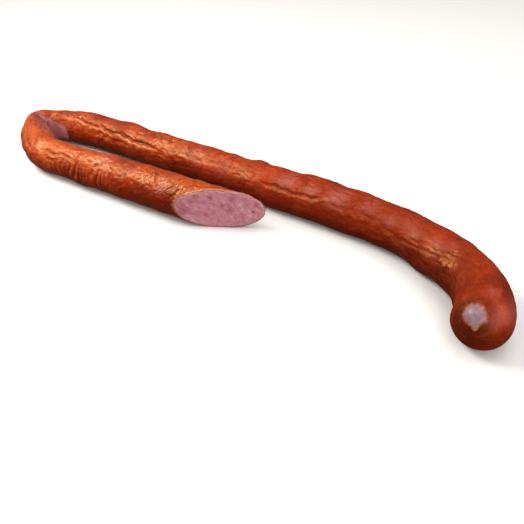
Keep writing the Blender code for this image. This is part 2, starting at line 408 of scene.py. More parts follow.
def crossWrinkles(along, around, wobble):
    # a wave along the sausage with sharp valleys, inside a window of distance and angle, that strays
    # and weakens with a slow noise
    middle, reach = 0.5 * (skin["crossFrom"] + skin["crossTo"]), skin["crossTo"] - skin["crossFrom"]
    turned = turnFrom(around, skin["crossAngle"])
    window = hump(along - middle, 1.5 * reach) * hump(turned, 2.6 * skin["crossReach"])
    uneven = waveNoise(along, 0.3 * around, skin["crossPatch"], 15)
    phase = 2.0 * np.pi * (along + skin["crossLean"] * turned) / skin["crossStep"]
    wave = np.sin(phase + 1.5 * uneven + 0.45 * wobble)
    strength = ease(0.90 + 0.35 * uneven - 0.20 * wobble)
    return skin["crossDepth"] * window * (0.35 - (0.5 + 0.5 * wave) ** 1.5) * strength


def fineRelief(along, around, wobble):
    # low lumps, and apart from them the relief with painted shade and highlight: wrinkles, which run
    # where a noise crosses zero as they are the bell of it, creases, cross wrinkles and specks
    patchy = ease(0.5 + 0.45 * waveNoise(along, around, skin["patchSize"], 5))
    wide = waveNoise(along, around, skin["valleySize"], 11, 1.5)
    small = waveNoise(along, around, skin["fineSize"], 12, 1.4)
    valleys = -skin["valleyDepth"] * bell(wide, skin["valleySharpness"]) * (0.35 + 0.65 * patchy)
    fine = -skin["fineDepth"] * bell(small, skin["fineSharpness"]) * (0.4 + 0.6 * (1.0 - patchy))
    lumps = skin["lumpHeight"] * waveNoise(along, around, skin["lumpSize"], 13, 1.3)
    top = ease(0.5 + 1.3 * np.sin(around))
    calm = np.interp(along, *np.array(skin["calm"]).T)
    calm = calm * (skin["lowShare"] + (1.0 - skin["lowShare"]) * top)
    wrinkles = (
        calm * (valleys + fine)
        + creaseRelief(along, around, wobble, creases)
        + crossWrinkles(along, around, wobble)
        + bumps(along, around, skin["specks"])
    )
    return calm * lumps + bumps(along, around, skin["pimples"]), wrinkles


def fullRelief(along, around):
    # all of the relief, and the share of it that gets painted shade and highlight in the colour
    height = 0.0
    for size, length, waves, phase in relief["lumps"]:
        height = height + size * np.sin(2.0 * np.pi * along / length + waves * around + radians(phase))
    wobble = waveNoise(along, around, skin["wobbleSize"], 14)
    height = height + bumps(along, around, relief["swells"]) + knotRelief(along, around)
    height = height + creaseRelief(along, around, wobble, broadFolds)
    lumps, wrinkles = fineRelief(along, around, wobble)
    lifted = ease((np.sin(around) + 1.0) / relief["bareBelow"])
    return (height + lumps + wrinkles) * lifted, wrinkles * lifted


def casingPoint(along, around, height):
    # radius and relief times the dome, round the line, cut back by the stick's flat on the right
    # hand, lowered by the sag and never under the table
    x, y = np.interp(along, line[0], line[1]), np.interp(along, line[0], line[2])
    direction = heading(along)
    radius = (casingRadius(along) + height) * domeFactor(along)
    distances, depths = np.array(relief["stickFlat"]).T
    flat = casingRadius(along) - np.interp(along, distances, depths)
    bare = radius * np.cos(around)
    kept = relief["flatSlope"] * np.minimum(bare + flat, 0.0)
    left = np.maximum(bare, -flat + kept + relief["flatHollows"] * np.minimum(height, 0.0))
    up = np.maximum(casingRadius(along) - sausage["sag"] + radius * np.sin(around), 0.0)
    return np.stack((x - np.sin(direction) * left, y + np.cos(direction) * left, up), axis=-1)


# The cut: a ring of distances that puts the casing's first ring in the knife's plane

cut = {
    "rounds": 24,  # in which the knife's place on the casing is found
    "blend": 0.085,  # how far along the slanting first ring straightens out
    "wall": 0.0004,  # the casing's edge, seen in the cut
    "paleEdge": 0.0022,  # how far along the casing its cut edge is pale
    "ragged": 0.0011,  # how much further tongues of casing reach over the top of the meat
    "recess": 0.0080,  # how far the casing's edge runs back inside the sausage
    "sliceDepth": 0.0060,  # how far the meat runs back
    "taper": 0.82,  # share of their width that both have left at the back
    "overlap": 0.3,  # share of the wall that the meat reaches into
    "tongues": ((5.0, 0.8, 1.0), (11.0, 2.0, 0.7), (23.0, 0.0, 0.4)),  # waves round, phase, height
}

knife, inward = radians(sausage["cutAngle"]), radians(sausage["heading"])
cutPlace = np.array((*sausage["cutCentre"], 0.0))
cutDirection = np.array((cos(knife), sin(knife), 0.0))
cutNormal = np.array((sin(knife), -cos(knife), 0.0))
inside = np.array((cos(inward), sin(inward), 0.0))  # the way into the sausage at the cut
toLeft = np.array((-sin(inward), cos(inward), 0.0))


def ringAngles(count):  # even angles once round, from the underside
    return np.linspace(-0.5 * np.pi, 1.5 * np.pi, count, endpoint=False)


def cutAlong(around):
    # how far along the knife meets the casing: minus the left offset times the ratio of the plane's
    # slopes to the left and forward, repeated as the radius there becomes known
    forward, leftward = inside @ cutNormal, toLeft @ cutNormal
    along = np.zeros(np.shape(around))
    for _ in range(cut["rounds"]):
        left = (casingRadius(along) + fullRelief(along, around)[0]) * np.cos(around)
        along = 0.5 * along - 0.5 * left * leftward / forward
    return along


def cutOutline(around):
    # the casing at those distances, moved along the cut's normal into the plane
    along = cutAlong(around)
    outline = casingPoint(along, around, fullRelief(along, around)[0])
    off = (outline - cutPlace) @ cutNormal
    return outline - off[:, None] * cutNormal


def casingRings(count, domeRings):
    # up to the dome they stand where the running sum of their density passes even steps, then at
    # even angles over the dome
    start = sausage["length"] - endRadius
    fine = np.linspace(0.0, start, 4000)
    closer, reach = skin["ringsByCut"]
    density = 1.0 + closer * bell(fine, reach)
    passed = np.concatenate(([0.0], np.cumsum(0.5 * (density[1:] + density[:-1]))))
    angles = np.linspace(0.0, 0.5 * np.pi, domeRings, endpoint=False)
    return np.concatenate((
        np.interp(np.linspace(0.0, passed[-1], count - domeRings, endpoint=False), passed, fine),
        start + endRadius * np.sin(angles),
    ))


# Materials

def feed(socket, value):  # linked to it if the value is a socket, set as its value if not
    if isinstance(value, bpy.types.NodeSocket):
        socket.id_data.links.new(value, socket)
    else:
        socket.default_value = value


def put(tree, kind, settings=None, **inputs):  # one node, with its settings and named inputs
    node = tree.nodes.new(kind)
    for label, value in (settings or {}).items():
        setattr(node, label, value)
    for label, value in inputs.items():
        feed(node.inputs[label], value)
    return node


def noiseValue(where, form, output="Fac"):  # form is scale, detail, roughness and distortion
    inputs = dict(zip(("Scale", "Detail", "Roughness", "Distortion"), form))
    return put(where.id_data, "ShaderNodeTexNoise", Vector=where, **inputs).outputs[output]


def spread(value, low, high, toLow=0.0, toHigh=1.0):
    # the value's stretch from low to high, eased, as a number from toLow to toHigh
    node = put(value.id_data, "ShaderNodeMapRange", {"interpolation_type": "SMOOTHSTEP"}, Value=value)
    for label, number in (("From Min", low), ("From Max", high), ("To Min", toLow), ("To Max", toHigh)):
        node.inputs[label].default_value = number
    return node.outputs["Result"]


def maths(way, *values):
    node = put(values[0].id_data, "ShaderNodeMath", {"operation": way})
    for socket, value in zip(node.inputs, values):
        feed(socket, value)
    return node.outputs["Value"]


def times(first, second):
    return maths("MULTIPLY", first, second)


def blendColours(tree, share, first, second, way="MIX"):  # colours are sockets or red, green, blue
    node = put(tree, "ShaderNodeMix", {"data_type": "RGBA", "blend_type": way})
    colours = [(*value, 1.0) if isinstance(value, tuple) else value for value in (first, second)]
    for number, value in zip((0, 6, 7), (share, *colours)):  # its sockets for a share and two colours
        feed(node.inputs[number], value)
    return node.outputs[2]


def layColours(tree, colour, look, layers):  # each layer is its share and the name of its colour
    for share, label in layers:
        colour = blendColours(tree, share, colour, look[label])
    return colour


def attributeValue(tree, label):
    return put(tree, "ShaderNodeAttribute", {"attribute_name": label}).outputs["Fac"]


def raised(height, form, **normal):  # the normal tilted by a height: form is strength, distance
    inputs = dict(zip(("Strength", "Distance"), form))
    return put(height.id_data, "ShaderNodeBump", Height=height, **inputs, **normal).outputs["Normal"]


def newMaterial(name, finish):  # finish holds values for the shader's own sockets
    material = bpy.data.materials.new(name)
    material.use_nodes = True
    tree = material.node_tree
    shader = tree.nodes["Principled BSDF"]
    for label, value in finish.items():
        shader.inputs[label].default_value = value
    return material, tree, shader


casingLook = {
    "orange": (0.62, 0.1, 0.014),
    "red": (0.47, 0.04, 0.007),
    "brown": (0.26, 0.017, 0.003),
    # the darkest colour, for the smokiest casing and for painted shade
    "darkSmokeAndShade": (0.11, 0.007, 0.002),
    # peach and ridge are pale colours on the tops of wrinkles and the upper side: partly painted
    # highlight
    "peach": (0.76, 0.22, 0.068),
    "ridge": (0.72, 0.18, 0.05),
    "pink": (0.5, 0.12, 0.1),
    # the stick mark along its folds, darker than the mark itself: painted shade in the folds
    "purple": (0.22, 0.055, 0.08),
    # the stick mark on the flat, paler than the mark itself to make up for the shade there: painted
    # light
    "flatPurpleWithPaintedLight": (0.66, 0.245, 0.265),
    "edge": (0.8, 0.34, 0.2),
    "rough": (0.28, 0.44),  # lowest and highest roughness where the matte tone is 0
    "matte": 0.24,  # how much rougher it is where the matte tone is 1
    "gloss": (0.70, 0.36),  # specular level where the matte tone is 0 and 1
    "clouds": (34.0, 4.0, 0.6, 0.4),  # noises: scale, detail, roughness, distortion
    "patches": (105.0, 3.0, 0.6, 0.6),
    "mottle": (150.0, 3.0, 0.6, 0.8),
    "speckle": (620.0, 2.0, 0.6),
    "streaks": (210.0, 4.0, 0.6, 0.5),
    "dullness": (90.0, 3.0, 0.55),
    "creased": (420.0, 4.0, 0.6, 1.2),
    "grain": (1700.0, 2.0, 0.5),
    "streakStretch": 0.18,  # scale along the sausage as a share of the scale round it
    "creaseStretch": 0.55,
    "stray": (160.0, 2.0, 0.5),  # bends the facets' edges
    "facetBend": (0.006, 0.006, 0.0),
    "facets": {"Scale": 250.0, "Smoothness": 0.25},
    "facetBump": (0.55, -0.00090),  # bumps: strength, distance
    "creaseBump": (0.7, 0.0006),
    "grainBump": (0.3, 0.00012),
    "finish": {
        "Specular Tint": (1.0, 0.64, 0.21, 1.0),
        "Coat Weight": 0.02,
        "Coat Roughness": 0.18,
        "Coat IOR": 1.45,
        "Sheen Weight": 0.03,
        "Sheen Roughness": 0.30,
        "Sheen Tint": (1.0, 0.80, 0.80, 1.0),
    },
}


def casingMaterial():
    look = casingLook
    material, tree, shader = newMaterial("smokedCasing", look["finish"])
    where = put(tree, "ShaderNodeTexCoord").outputs["Object"]
    skinUv = put(tree, "ShaderNodeUVMap", {"uv_map": "casingUv"}).outputs["UV"]

    smokeAndShade, fine, matte = (attributeValue(tree, label) for label in ("smokeAndShade", "fine", "matte"))
    uneven = spread(smokeAndShade, 0.42, 0.76, 1.0, 0.55)  # the smokier and more shaded casing is more even
    clouds = spread(noiseValue(where, look["clouds"]), 0.25, 0.75, -0.28, 0.28)
    patches = spread(noiseValue(where, look["patches"]), 0.3, 0.7, -0.20, 0.20)
    # the smoke tone with its painted shade, made uneven by clouds and patches
    smoked = maths("ADD", smokeAndShade, times(clouds, uneven))
    smoked = maths("ADD", smoked, times(patches, uneven))
    colour = blendColours(tree, spread(smoked, 0.0, 0.5), look["orange"], look["red"])

    # peach mottle, strongest where the casing is least smoked and shaded, so on the upper side: partly
    # painted highlight
    mottle = spread(noiseValue(where, look["mottle"]), 0.50, 0.72)
    upper = spread(smokeAndShade, 0.34, 0.74, 0.46, 0.10)
    colour = layColours(tree, colour, look, (
        (spread(smoked, 0.45, 0.95), "brown"),
        (spread(smoked, 0.95, 1.9), "darkSmokeAndShade"),
        (times(mottle, upper), "peach"),
        (times(attributeValue(tree, "pink"), 0.85), "pink"),
    ))
    speckle = spread(noiseValue(where, look["speckle"]), 0.36, 0.64, 0.88, 1.09)
    grey = put(tree, "ShaderNodeCombineXYZ", X=speckle, Y=speckle, Z=speckle).outputs[0]
    colour = blendColours(tree, 1.0, colour, grey, "MULTIPLY")

    stretched = (look["streakStretch"], 1.0, 1.0)
    streaked = put(tree, "ShaderNodeMapping", Vector=skinUv, Scale=stretched).outputs["Vector"]
    streaks = noiseValue(streaked, look["streaks"])
    streaky = attributeValue(tree, "streaky")
    colour = layColours(tree, colour, look, (
        # painted highlight on the ridges and lips of the wrinkles, and painted shade in their valleys
        (times(spread(fine, 0.15, 0.9), upper), "peach"),
        (spread(fine, 0.12, 0.5, 0.0, 0.45), "ridge"),
        (spread(fine, -0.75, -0.08, 0.85, 0.0), "brown"),
        (spread(fine, -1.7, -0.7, 0.8, 0.0), "darkSmokeAndShade"),
        (times(spread(streaks, 0.5, 0.68), streaky), "brown"),
        (times(spread(streaks, 0.48, 0.32), streaky), "red"),
        # the stick mark, with painted light on the shaded flat
        (attributeValue(tree, "stick"), "flatPurpleWithPaintedLight"),
        # painted shade along the folds, in the mark's purple
        (attributeValue(tree, "fold"), "purple"),
        (times(attributeValue(tree, "edge"), 0.8), "edge"),
    ))
    feed(shader.inputs["Base Color"], colour)

    rough = spread(noiseValue(where, look["dullness"]), 0.3, 0.7, *look["rough"])
    rough = maths("ADD", rough, times(matte, look["matte"]))
    feed(shader.inputs["Roughness"], rough)
    feed(shader.inputs["Specular IOR Level"], spread(matte, 0.0, 1.0, *look["gloss"]))

    stretched = (look["creaseStretch"], 1.0, 1.0)
    drawn = put(tree, "ShaderNodeMapping", Vector=skinUv, Scale=stretched).outputs["Vector"]
    creased = noiseValue(drawn, look["creased"])
    grain = noiseValue(where, look["grain"])
    stray = noiseValue(drawn, look["stray"], "Color")
    bent = put(tree, "ShaderNodeVectorMath", {"operation": "MULTIPLY_ADD"})
    for socket, value in zip(bent.inputs, (stray, look["facetBend"], drawn)):
        feed(socket, value)
    form = {"feature": "SMOOTH_F1"}
    cells = put(tree, "ShaderNodeTexVoronoi", form, Vector=bent.outputs["Vector"], **look["facets"])
    normal = raised(cells.outputs["Distance"], look["facetBump"])
    normal = raised(creased, look["creaseBump"], Normal=normal)
    normal = raised(grain, look["grainBump"], Normal=normal)
    feed(shader.inputs["Normal"], normal)
    return material


meatLook = {
    "lean": (0.58, 0.15, 0.205),
    "paste": (0.87, 0.355, 0.44),
    "fat": (0.98, 0.62, 0.68),
    "rim": (0.86, 0.44, 0.36),
    # near black in the small hollow: painted shade
    "hole": (0.1, 0.03, 0.035),
    "leanPatches": (170.0, 3.0, 0.5, 0.9),  # noises: scale, detail, roughness, distortion
    "fatPatches": (260.0, 3.0, 0.6, 0.6),
    "torn": (620.0, 3.0, 0.6, 0.8),
    "fibres": (900.0, 4.0, 0.6),
    "bump": (0.25, 0.0002),  # strength, distance
    "finish": {
        "Roughness": 0.48,
        "Specular IOR Level": 0.4,
        "Subsurface Weight": 0.10,
        "Subsurface Radius": (1.0, 0.4, 0.3),
        "Subsurface Scale": 0.003,
        "Coat Weight": 0.10,
        "Coat Roughness": 0.25,
    },
}


def meatMaterial():
    look = meatLook
    material, tree, shader = newMaterial("cutMeat", look["finish"])
    where = put(tree, "ShaderNodeTexCoord").outputs["Object"]
    lean = spread(noiseValue(where, look["leanPatches"]), 0.46, 0.68)
    fat = spread(noiseValue(where, look["fatPatches"]), 0.52, 0.72)
    torn = spread(noiseValue(where, look["torn"]), 0.36, 0.56)
    colour = blendColours(tree, times(lean, 0.40), look["paste"], look["lean"])
    colour = layColours(tree, colour, look, (
        (times(attributeValue(tree, "lean"), 0.8), "lean"),
        (times(fat, 0.42), "fat"),
        (times(attributeValue(tree, "fat"), torn), "fat"),
        (spread(attributeValue(tree, "fromEdge"), 0.0001, 0.002, 0.7, 0.0), "rim"),
        # painted shade in the small hollow
        (attributeValue(tree, "hollow"), "hole"),
    ))
    feed(shader.inputs["Base Color"], colour)
    fibres = noiseValue(where, look["fibres"])
    feed(shader.inputs["Normal"], raised(fibres, look["bump"]))
    return material


knotLook = {
    "pale": (0.39, 0.22, 0.24),
    "grey": (0.28, 0.17, 0.22),
    "warm": (0.54, 0.2, 0.1),
    "rim": (0.3, 0.05, 0.022),
    "clouds": (240.0, 3.0, 0.6, 0.4),  # noises: scale, detail, roughness, distortion
    "ragged": (460.0, 3.0, 0.6, 0.3),
    "folds": (800.0, 3.0, 0.6, 0.5),
    "bump": (0.4, 0.0003),  # strength, distance
    "finish": {
        "Roughness": 0.42,
        "Specular IOR Level": 0.45,
        "Coat Weight": 0.10,
        "Coat Roughness": 0.25,
    },
}


def knotMaterial():
    look = knotLook
    material, tree, shader = newMaterial("paleKnot", look["finish"])
    where = put(tree, "ShaderNodeTexCoord").outputs["Object"]
    cloudy = spread(noiseValue(where, look["clouds"]), 0.35, 0.65)
    ragged = noiseValue(where, look["ragged"])
    ragged = maths("MULTIPLY_ADD", ragged, 0.9, attributeValue(tree, "smoked"))
    colour = blendColours(tree, cloudy, look["pale"], look["grey"])
    colour = layColours(tree, colour, look, (
        (attributeValue(tree, "warmth"), "warm"),
        (spread(ragged, 0.52, 1.36), "rim"),
    ))
    feed(shader.inputs["Base Color"], colour)
    folds = noiseValue(where, look["folds"])
    feed(shader.inputs["Normal"], raised(folds, look["bump"]))
    return material


# The casing

tones = {
    "stickSpan": (0.214, 0.018, 0.3130, 0.003),  # the mark's start, its growth, its end, its fading
    "stickEdge": (  # its upper edge: distance, angle
        (0.215, 118), (0.235, 104), (0.256, 98), (0.272, 116), (0.286, 143), (0.312, 152),
    ),
    "stickBlur": ((0.225, 16.0), (0.258, 22.0), (0.285, 9.0)),  # distance, degrees to full strength
    "stickUnder": (240.0, 20.0),  # its lower edge, and degrees to full strength
    "stickPale": (0.45, (0.55, 0.246, 0.016)),  # strength on the front arm's side, where the mark is lit directly, and what is added
    "folds": (  # the mark goes on along them as painted shade: strength, width, places from the flat outward
        (0.9, 0.0072, ((0.256, 156.0), (0.262, 128.0), (0.269, 98.0), (0.273, 66.0))),
        (0.7, 0.005, ((0.262, 128.0), (0.25, 118.0), (0.238, 116.0), (0.224, 128.0))),
    ),
    "strokes": ("nearCutA", "nearCutB", "nearCutC"),  # creases that are pale
    "strokeWidth": 0.0008,
    "streaky": 0.38,  # strength of the streaks
    "streakyHook": (-0.24, 0.73, 0.04),  # added on the hook: amount, start, length of its growth
    "matte": (1.0, 0.38, 0.26),  # written the same way, as are backArm and hook
    "ringMiddle": 31.0,  # degrees from the knot's middle, where shade is painted in the dimple
    "ringWidth": 9.0,
    "ringPale": 80.0,  # degrees round the knot, where the ring is palest
    "ringShare": (0.66, 0.24),  # its strength there and opposite is their difference and their sum
    "ringShade": 1.9,  # how dark that painted shade is
    "under": (44.0, 15.0, 0.35),  # degrees from the knot, width and strength of the painted shade below it
    "onBall": (1.0, 0.76, 0.02),  # where both of them come in: share, start, length
    "base": 0.34,  # smoke tone before the next four are added, of which low is painted shade
    "backArm": (0.42, 0.42, 0.25),
    "hook": (-0.08, 0.755, 0.02),
    "low": (0.55, 40.0, 60.0),  # painted shade on the lower sides, in degrees from the top
    "bend": (-0.34, 0.250, 0.150),  # amount, middle, length
    # dark spots paint shade on lower sides, top edges and over some highlights; pale ones light lit
    # lower sides and the ball's right
    "paintedShadeSpots": (  # painted shade, and painted light below zero: distance, angle, breadth, strength
        (0.036, 22, 0.04, 0.8), (0.06, 0.0, 0.05, 0.3), (0.055, 94, 0.05, 0.25),
        (0.1, 86, 0.06, 0.3), (0.178, 64, 0.03, 0.3), (0.089, 60, 0.03, 0.2),
        (0.302, 126, 0.03, 0.3), (0.426, 118, 0.03, 0.25), (0.318, 92, 0.05, 0.35),
        (0.35, 98, 0.05, 0.55), (0.384, 100, 0.05, 0.55), (0.42, 104, 0.05, 0.35),
        (0.262, 96, 0.04, 0.3), (0.765, 160, 0.05, 0.4), (0.735, 168, 0.05, 0.4),
        (0.7, 172, 0.05, 0.3), (0.48, 176, 0.06, 0.3), (0.75, 155, 0.02, 0.3),
        (0.793, 46, 0.03, -0.4), (0.18, 10, 0.08, -0.6), (0.125, 10, 0.07, -0.3),
        (0.42, 178, 0.12, -0.2), (0.34, 178, 0.08, -0.2),
    ),
    "shiny": (  # less matte places on the back arm: distance, angle, breadth, strength
        (0.716, 139, 0.026, 0.9), (0.736, 144, 0.026, 1.0), (0.732, 114, 0.014, 0.8),
        (0.697, 136, 0.022, 0.7), (0.433, 134, 0.034, 1.0), (0.47, 135, 0.034, 0.9),
        (0.5, 137, 0.034, 0.8), (0.535, 137, 0.03, 0.7), (0.6, 137, 0.034, 0.4),
    ),
    "dull": (  # more matte places on the glossy arms, written the same way
        (0.302, 124, 0.034, 0.6), (0.35, 92, 0.036, 0.8), (0.386, 98, 0.036, 0.9),
        (0.424, 106, 0.028, 0.8), (0.507, 116, 0.04, 0.5), (0.178, 64, 0.024, 0.4),
        (0.089, 62, 0.03, 0.4),
    ),
    "blotches": (  # pink places, written the same way
        (0.58, 119, 0.028, 1.0), (0.603, 131, 0.022, 0.8), (0.625, 122, 0.03, 1.0),
        (0.652, 116, 0.026, 0.6), (0.512, 134, 0.024, 0.7), (0.486, 118, 0.022, 0.5),
        (0.443, 118, 0.022, 0.4), (0.716, 133, 0.026, 0.6), (0.69, 120, 0.024, 0.4),
        (0.118, 74, 0.04, 0.5), (0.047, 52, 0.026, 0.6), (0.779, 20, 0.03, 0.6),
        (0.779, 81, 0.016, 0.5), (0.673, 132, 0.016, 0.5), (0.726, 108, 0.016, 0.5),
        # the next, on the ball's lit right side, is pink and partly painted light
        (0.79, 50, 0.022, 0.8),
    ),
}


def smokeAndShadeTone(along, around):
    # the base smoke tone, more or less of it along the back arm, on the hook and at the bend, and
    # painted shade low down, in a ring round the knot, below the knot and at the painted shade spots
    off, spin = knotPlace(along, around)
    usual, change = tones["ringShare"]
    uneven = usual - change * np.cos(spin - radians(tones["ringPale"]))
    shade = bell(off - tones["ringMiddle"], tones["ringWidth"]) * uneven
    middle, width, strength = tones["under"]
    below = strength * bell(off - middle, width) * ease(0.45 - 0.9 * np.sin(spin))
    amount, bend, length = tones["bend"]
    return (
        tones["base"]
        + grown(along, tones["backArm"])
        + grown(along, tones["hook"])
        + amount * hump(along - bend, length)
        + grown(np.abs(turnFrom(around, 90.0)), tones["low"])
        + (tones["ringShade"] * shade + below) * grown(along, tones["onBall"])
        + bumps(along, around, tones["paintedShadeSpots"])
    )


def stickTone(along, around):
    # the stick's mark, in a colour with painted light for the shaded flat: eased in and out along the
    # sausage, down from its upper edge and up from its lower one, and weaker on the front arm's side
    turned = np.degrees(nearTurn(around, radians(160.0)))
    start, growth, end, fading = tones["stickSpan"]
    flat = ease((along - start) / growth) * ease((end - along) / fading)
    upper = np.interp(along, *np.array(tones["stickEdge"]).T)
    blur = np.interp(along, *np.array(tones["stickBlur"]).T)
    lower, lowerBlur = tones["stickUnder"]
    flat = flat * ease((turned - upper) / blur) * ease((lower - turned) / lowerBlur)
    pale, added = tones["stickPale"]
    return flat * ease((turned - 100.0) / 26.0) * (pale + grown(along, added))


def foldTone(along, around):
    # the mark and painted shade along its folds: the strongest bell of the distance, fading out at
    # their ends
    tone = np.zeros(np.shape(along))
    for strength, width, places in tones["folds"]:
        offset, share = unrolledLine(along, around, places)
        tone = np.maximum(tone, strength * bell(offset, width) * ease((1.0 - share) / 0.3))
    return tone


def matteTone(along, around):
    # rises along the back arm, less at the shiny places and more at the dull ones
    shiny = np.clip(bumps(along, around, tones["shiny"]), 0.0, 1.0)
    matte = grown(along, tones["matte"]) * (1.0 - shiny)
    return np.clip(matte + bumps(along, around, tones["dull"]), 0.0, 1.0)


def edgeTone(along, around, rings):
    # the casing's pale edge along the cut, palest on top, and the pale wrinkles beside it
    top = hump(turnFrom(around, 90.0), 260.0)
    tone = bell(rings, cut["paleEdge"])[:, None] * (0.45 + 0.55 * top)
    for label in tones["strokes"]:
        offset, share = unrolledLine(along, around, creases[label][3])
        stroke = 0.6 * bell(offset, tones["strokeWidth"]) * ease(4.0 * np.minimum(share, 1.0 - share))
        tone = np.maximum(tone, stroke)
    return tone


def makeCasing(material):
    sides = skin["sides"]
    around = ringAngles(sides)
    rings = casingRings(skin["rings"], skin["domeRings"])
    slant = cutAlong(around)
    along = rings[:, None] + slant[None, :] * (1.0 - ease(rings / cut["blend"]))[:, None]
    angle = np.broadcast_to(around, along.shape)
    height, fine = fullRelief(along, angle)
    outer = casingPoint(along, angle, height)
    outer[0] = cutOutline(around)

    # the edge of the casing turns in along the knife's plane, then runs back inside and is closed there
    middle = outer[0].mean(axis=0)
    toMiddle = middle - outer[0]
    toMiddle /= np.linalg.norm(toMiddle, axis=1)[:, None]
    inner = outer[0] + toMiddle * edgeWidth(around)[:, None]
    deep = middle + (inner - middle) * cut["taper"] + inside * cut["recess"]
    tip = casingPoint(np.array([sausage["length"]]), np.array([0.5 * np.pi]), np.array([0.0]))
    points = np.concatenate((deep, inner, outer.reshape(-1, 3), tip, deep.mean(axis=0)[None]))

    rows = len(rings) + 2
    corner = np.arange(rows * sides).reshape(rows, sides)
    faceSets = [
        ringFaces(corner),
        fanFaces(corner[-1], rows * sides),
        fanFaces(corner[0], rows * sides + 1, outward=False),
    ]
    values = {
        "smokeAndShade": smokeAndShadeTone(along, angle),
        "fine": fine / skin["toneDepth"],
        "stick": stickTone(along, angle),
        "fold": foldTone(along, angle),
        "pink": np.clip(bumps(along, angle, tones["blotches"]), 0.0, 1.0),
        "edge": edgeTone(along, angle, rings),
        "matte": matteTone(along, angle),
        "streaky": tones["streaky"] + grown(along, tones["streakyHook"]),
    }
    padded = {
        label: np.concatenate((np.tile(v[0], 2), v.ravel(), (v[-1, 0], v[0, 0])))
        for label, v in values.items()
    }

    # each corner's place on the unrolled casing, the seam's at both ends of it
    u = np.concatenate((np.tile(along[0], (2, 1)), along))
    v = sausage["meanRadius"] * np.broadcast_to(np.append(around, 1.5 * np.pi), (rows, sides + 1))
    u = np.concatenate((u, u[:, :1]), axis=1)
    grid = np.stack((u, v), axis=-1)
    a, b, c, d = grid[:-1, :-1], grid[:-1, 1:], grid[1:, 1:], grid[1:, :-1]
    corners = (
        np.stack((a, b, c, d), axis=2),
        np.stack((d[-1], c[-1], d[-1]), axis=1),
        np.stack((b[0], a[0], a[0]), axis=1),
    )
    cornerUv = np.concatenate([group.reshape(-1, 2) for group in corners])
    return buildMesh("smokedCasing", points, faceSets, material, padded, cornerUv)


def edgeWidth(around):
    # the wall, and tongues dragged over the top of the cut: a sum of sines, kept where positive
    turned = nearTurn(around, radians(90.0))
    top = hump(turned - radians(78.0), radians(150.0))
    return cut["wall"] + cut["ragged"] * top * np.maximum(sines(turned, cut["tongues"]), 0.0)


# The cut face

meat = {
    "columns": 400,
    "rows": 84,
    "bulge": 0.00035,  # how far the meat stands proud of the casing's edge
    "bulgeReach": 0.0016,  # from the rim, over which it rises
    "rimDrop": (0.0004, 0.0006),  # depth, reach
    "grainSizes": ((0.0060, 0.00008), (0.0030, 0.00005), (0.0015, 0.00003)),  # size, height
    "hole": (0.0264, 0.0143, 0.0009, 0.0014),  # across, up, radius, depth
    "grainReach": 0.0012,  # from the rim, over which the grain grows
    "pits": 30,
    "pitPlaces": ((-0.034, 0.034), (0.003, 0.031)),  # range across, range up
    "pitSize": (0.0004, 0.0009),
    "pitDepth": 0.00025,
    "lean": (  # across, up, breadth
        # the broad third one, at the left end, is lean and also painted shade on that side of the cut
        (-0.0178, 0.0267, 0.009), (-0.0219, 0.0225, 0.008), (-0.029, 0.0145, 0.019),
        (0.0029, 0.0198, 0.0085), (0.0083, 0.0153, 0.011), (0.011, 0.0253, 0.009),
        (-0.006, 0.026, 0.007), (-0.011, 0.011, 0.007), (0.03, 0.021, 0.008),
    ),
    "fat": (
        (-0.0138, 0.0198, 0.0038), (-0.0108, 0.0182, 0.005), (0.0047, 0.0234, 0.0052),
        (0.0169, 0.0208, 0.0064), (0.0186, 0.0172, 0.005), (0.009, 0.0102, 0.004),
        (0.0242, 0.0111, 0.0055), (-0.0183, 0.0161, 0.005), (-0.026, 0.009, 0.007),
        (0.0238, 0.015, 0.004), (-0.025, 0.019, 0.0036), (-0.0215, 0.0062, 0.006),
        (-0.014, 0.0042, 0.005),
    ),
}


def flatNoise(x, y, size, seed, waves=30):  # the same sum of waves on a plane
    total = 0.0
    for way, length, phase in zip(*randomWaves(size, seed, waves)):
        total = total + np.cos(2.0 * np.pi / length * (x * np.cos(way) + y * np.sin(way)) + phase)
    return total / np.sqrt(0.5 * waves)


def spots(across, up, table):  # humps of the distance from each place, added up to 1 at most
    total = 0.0
    for x, y, breadth in table:
        total = total + hump(np.hypot(across - x, up - y), breadth)
    return np.minimum(total, 1.0)


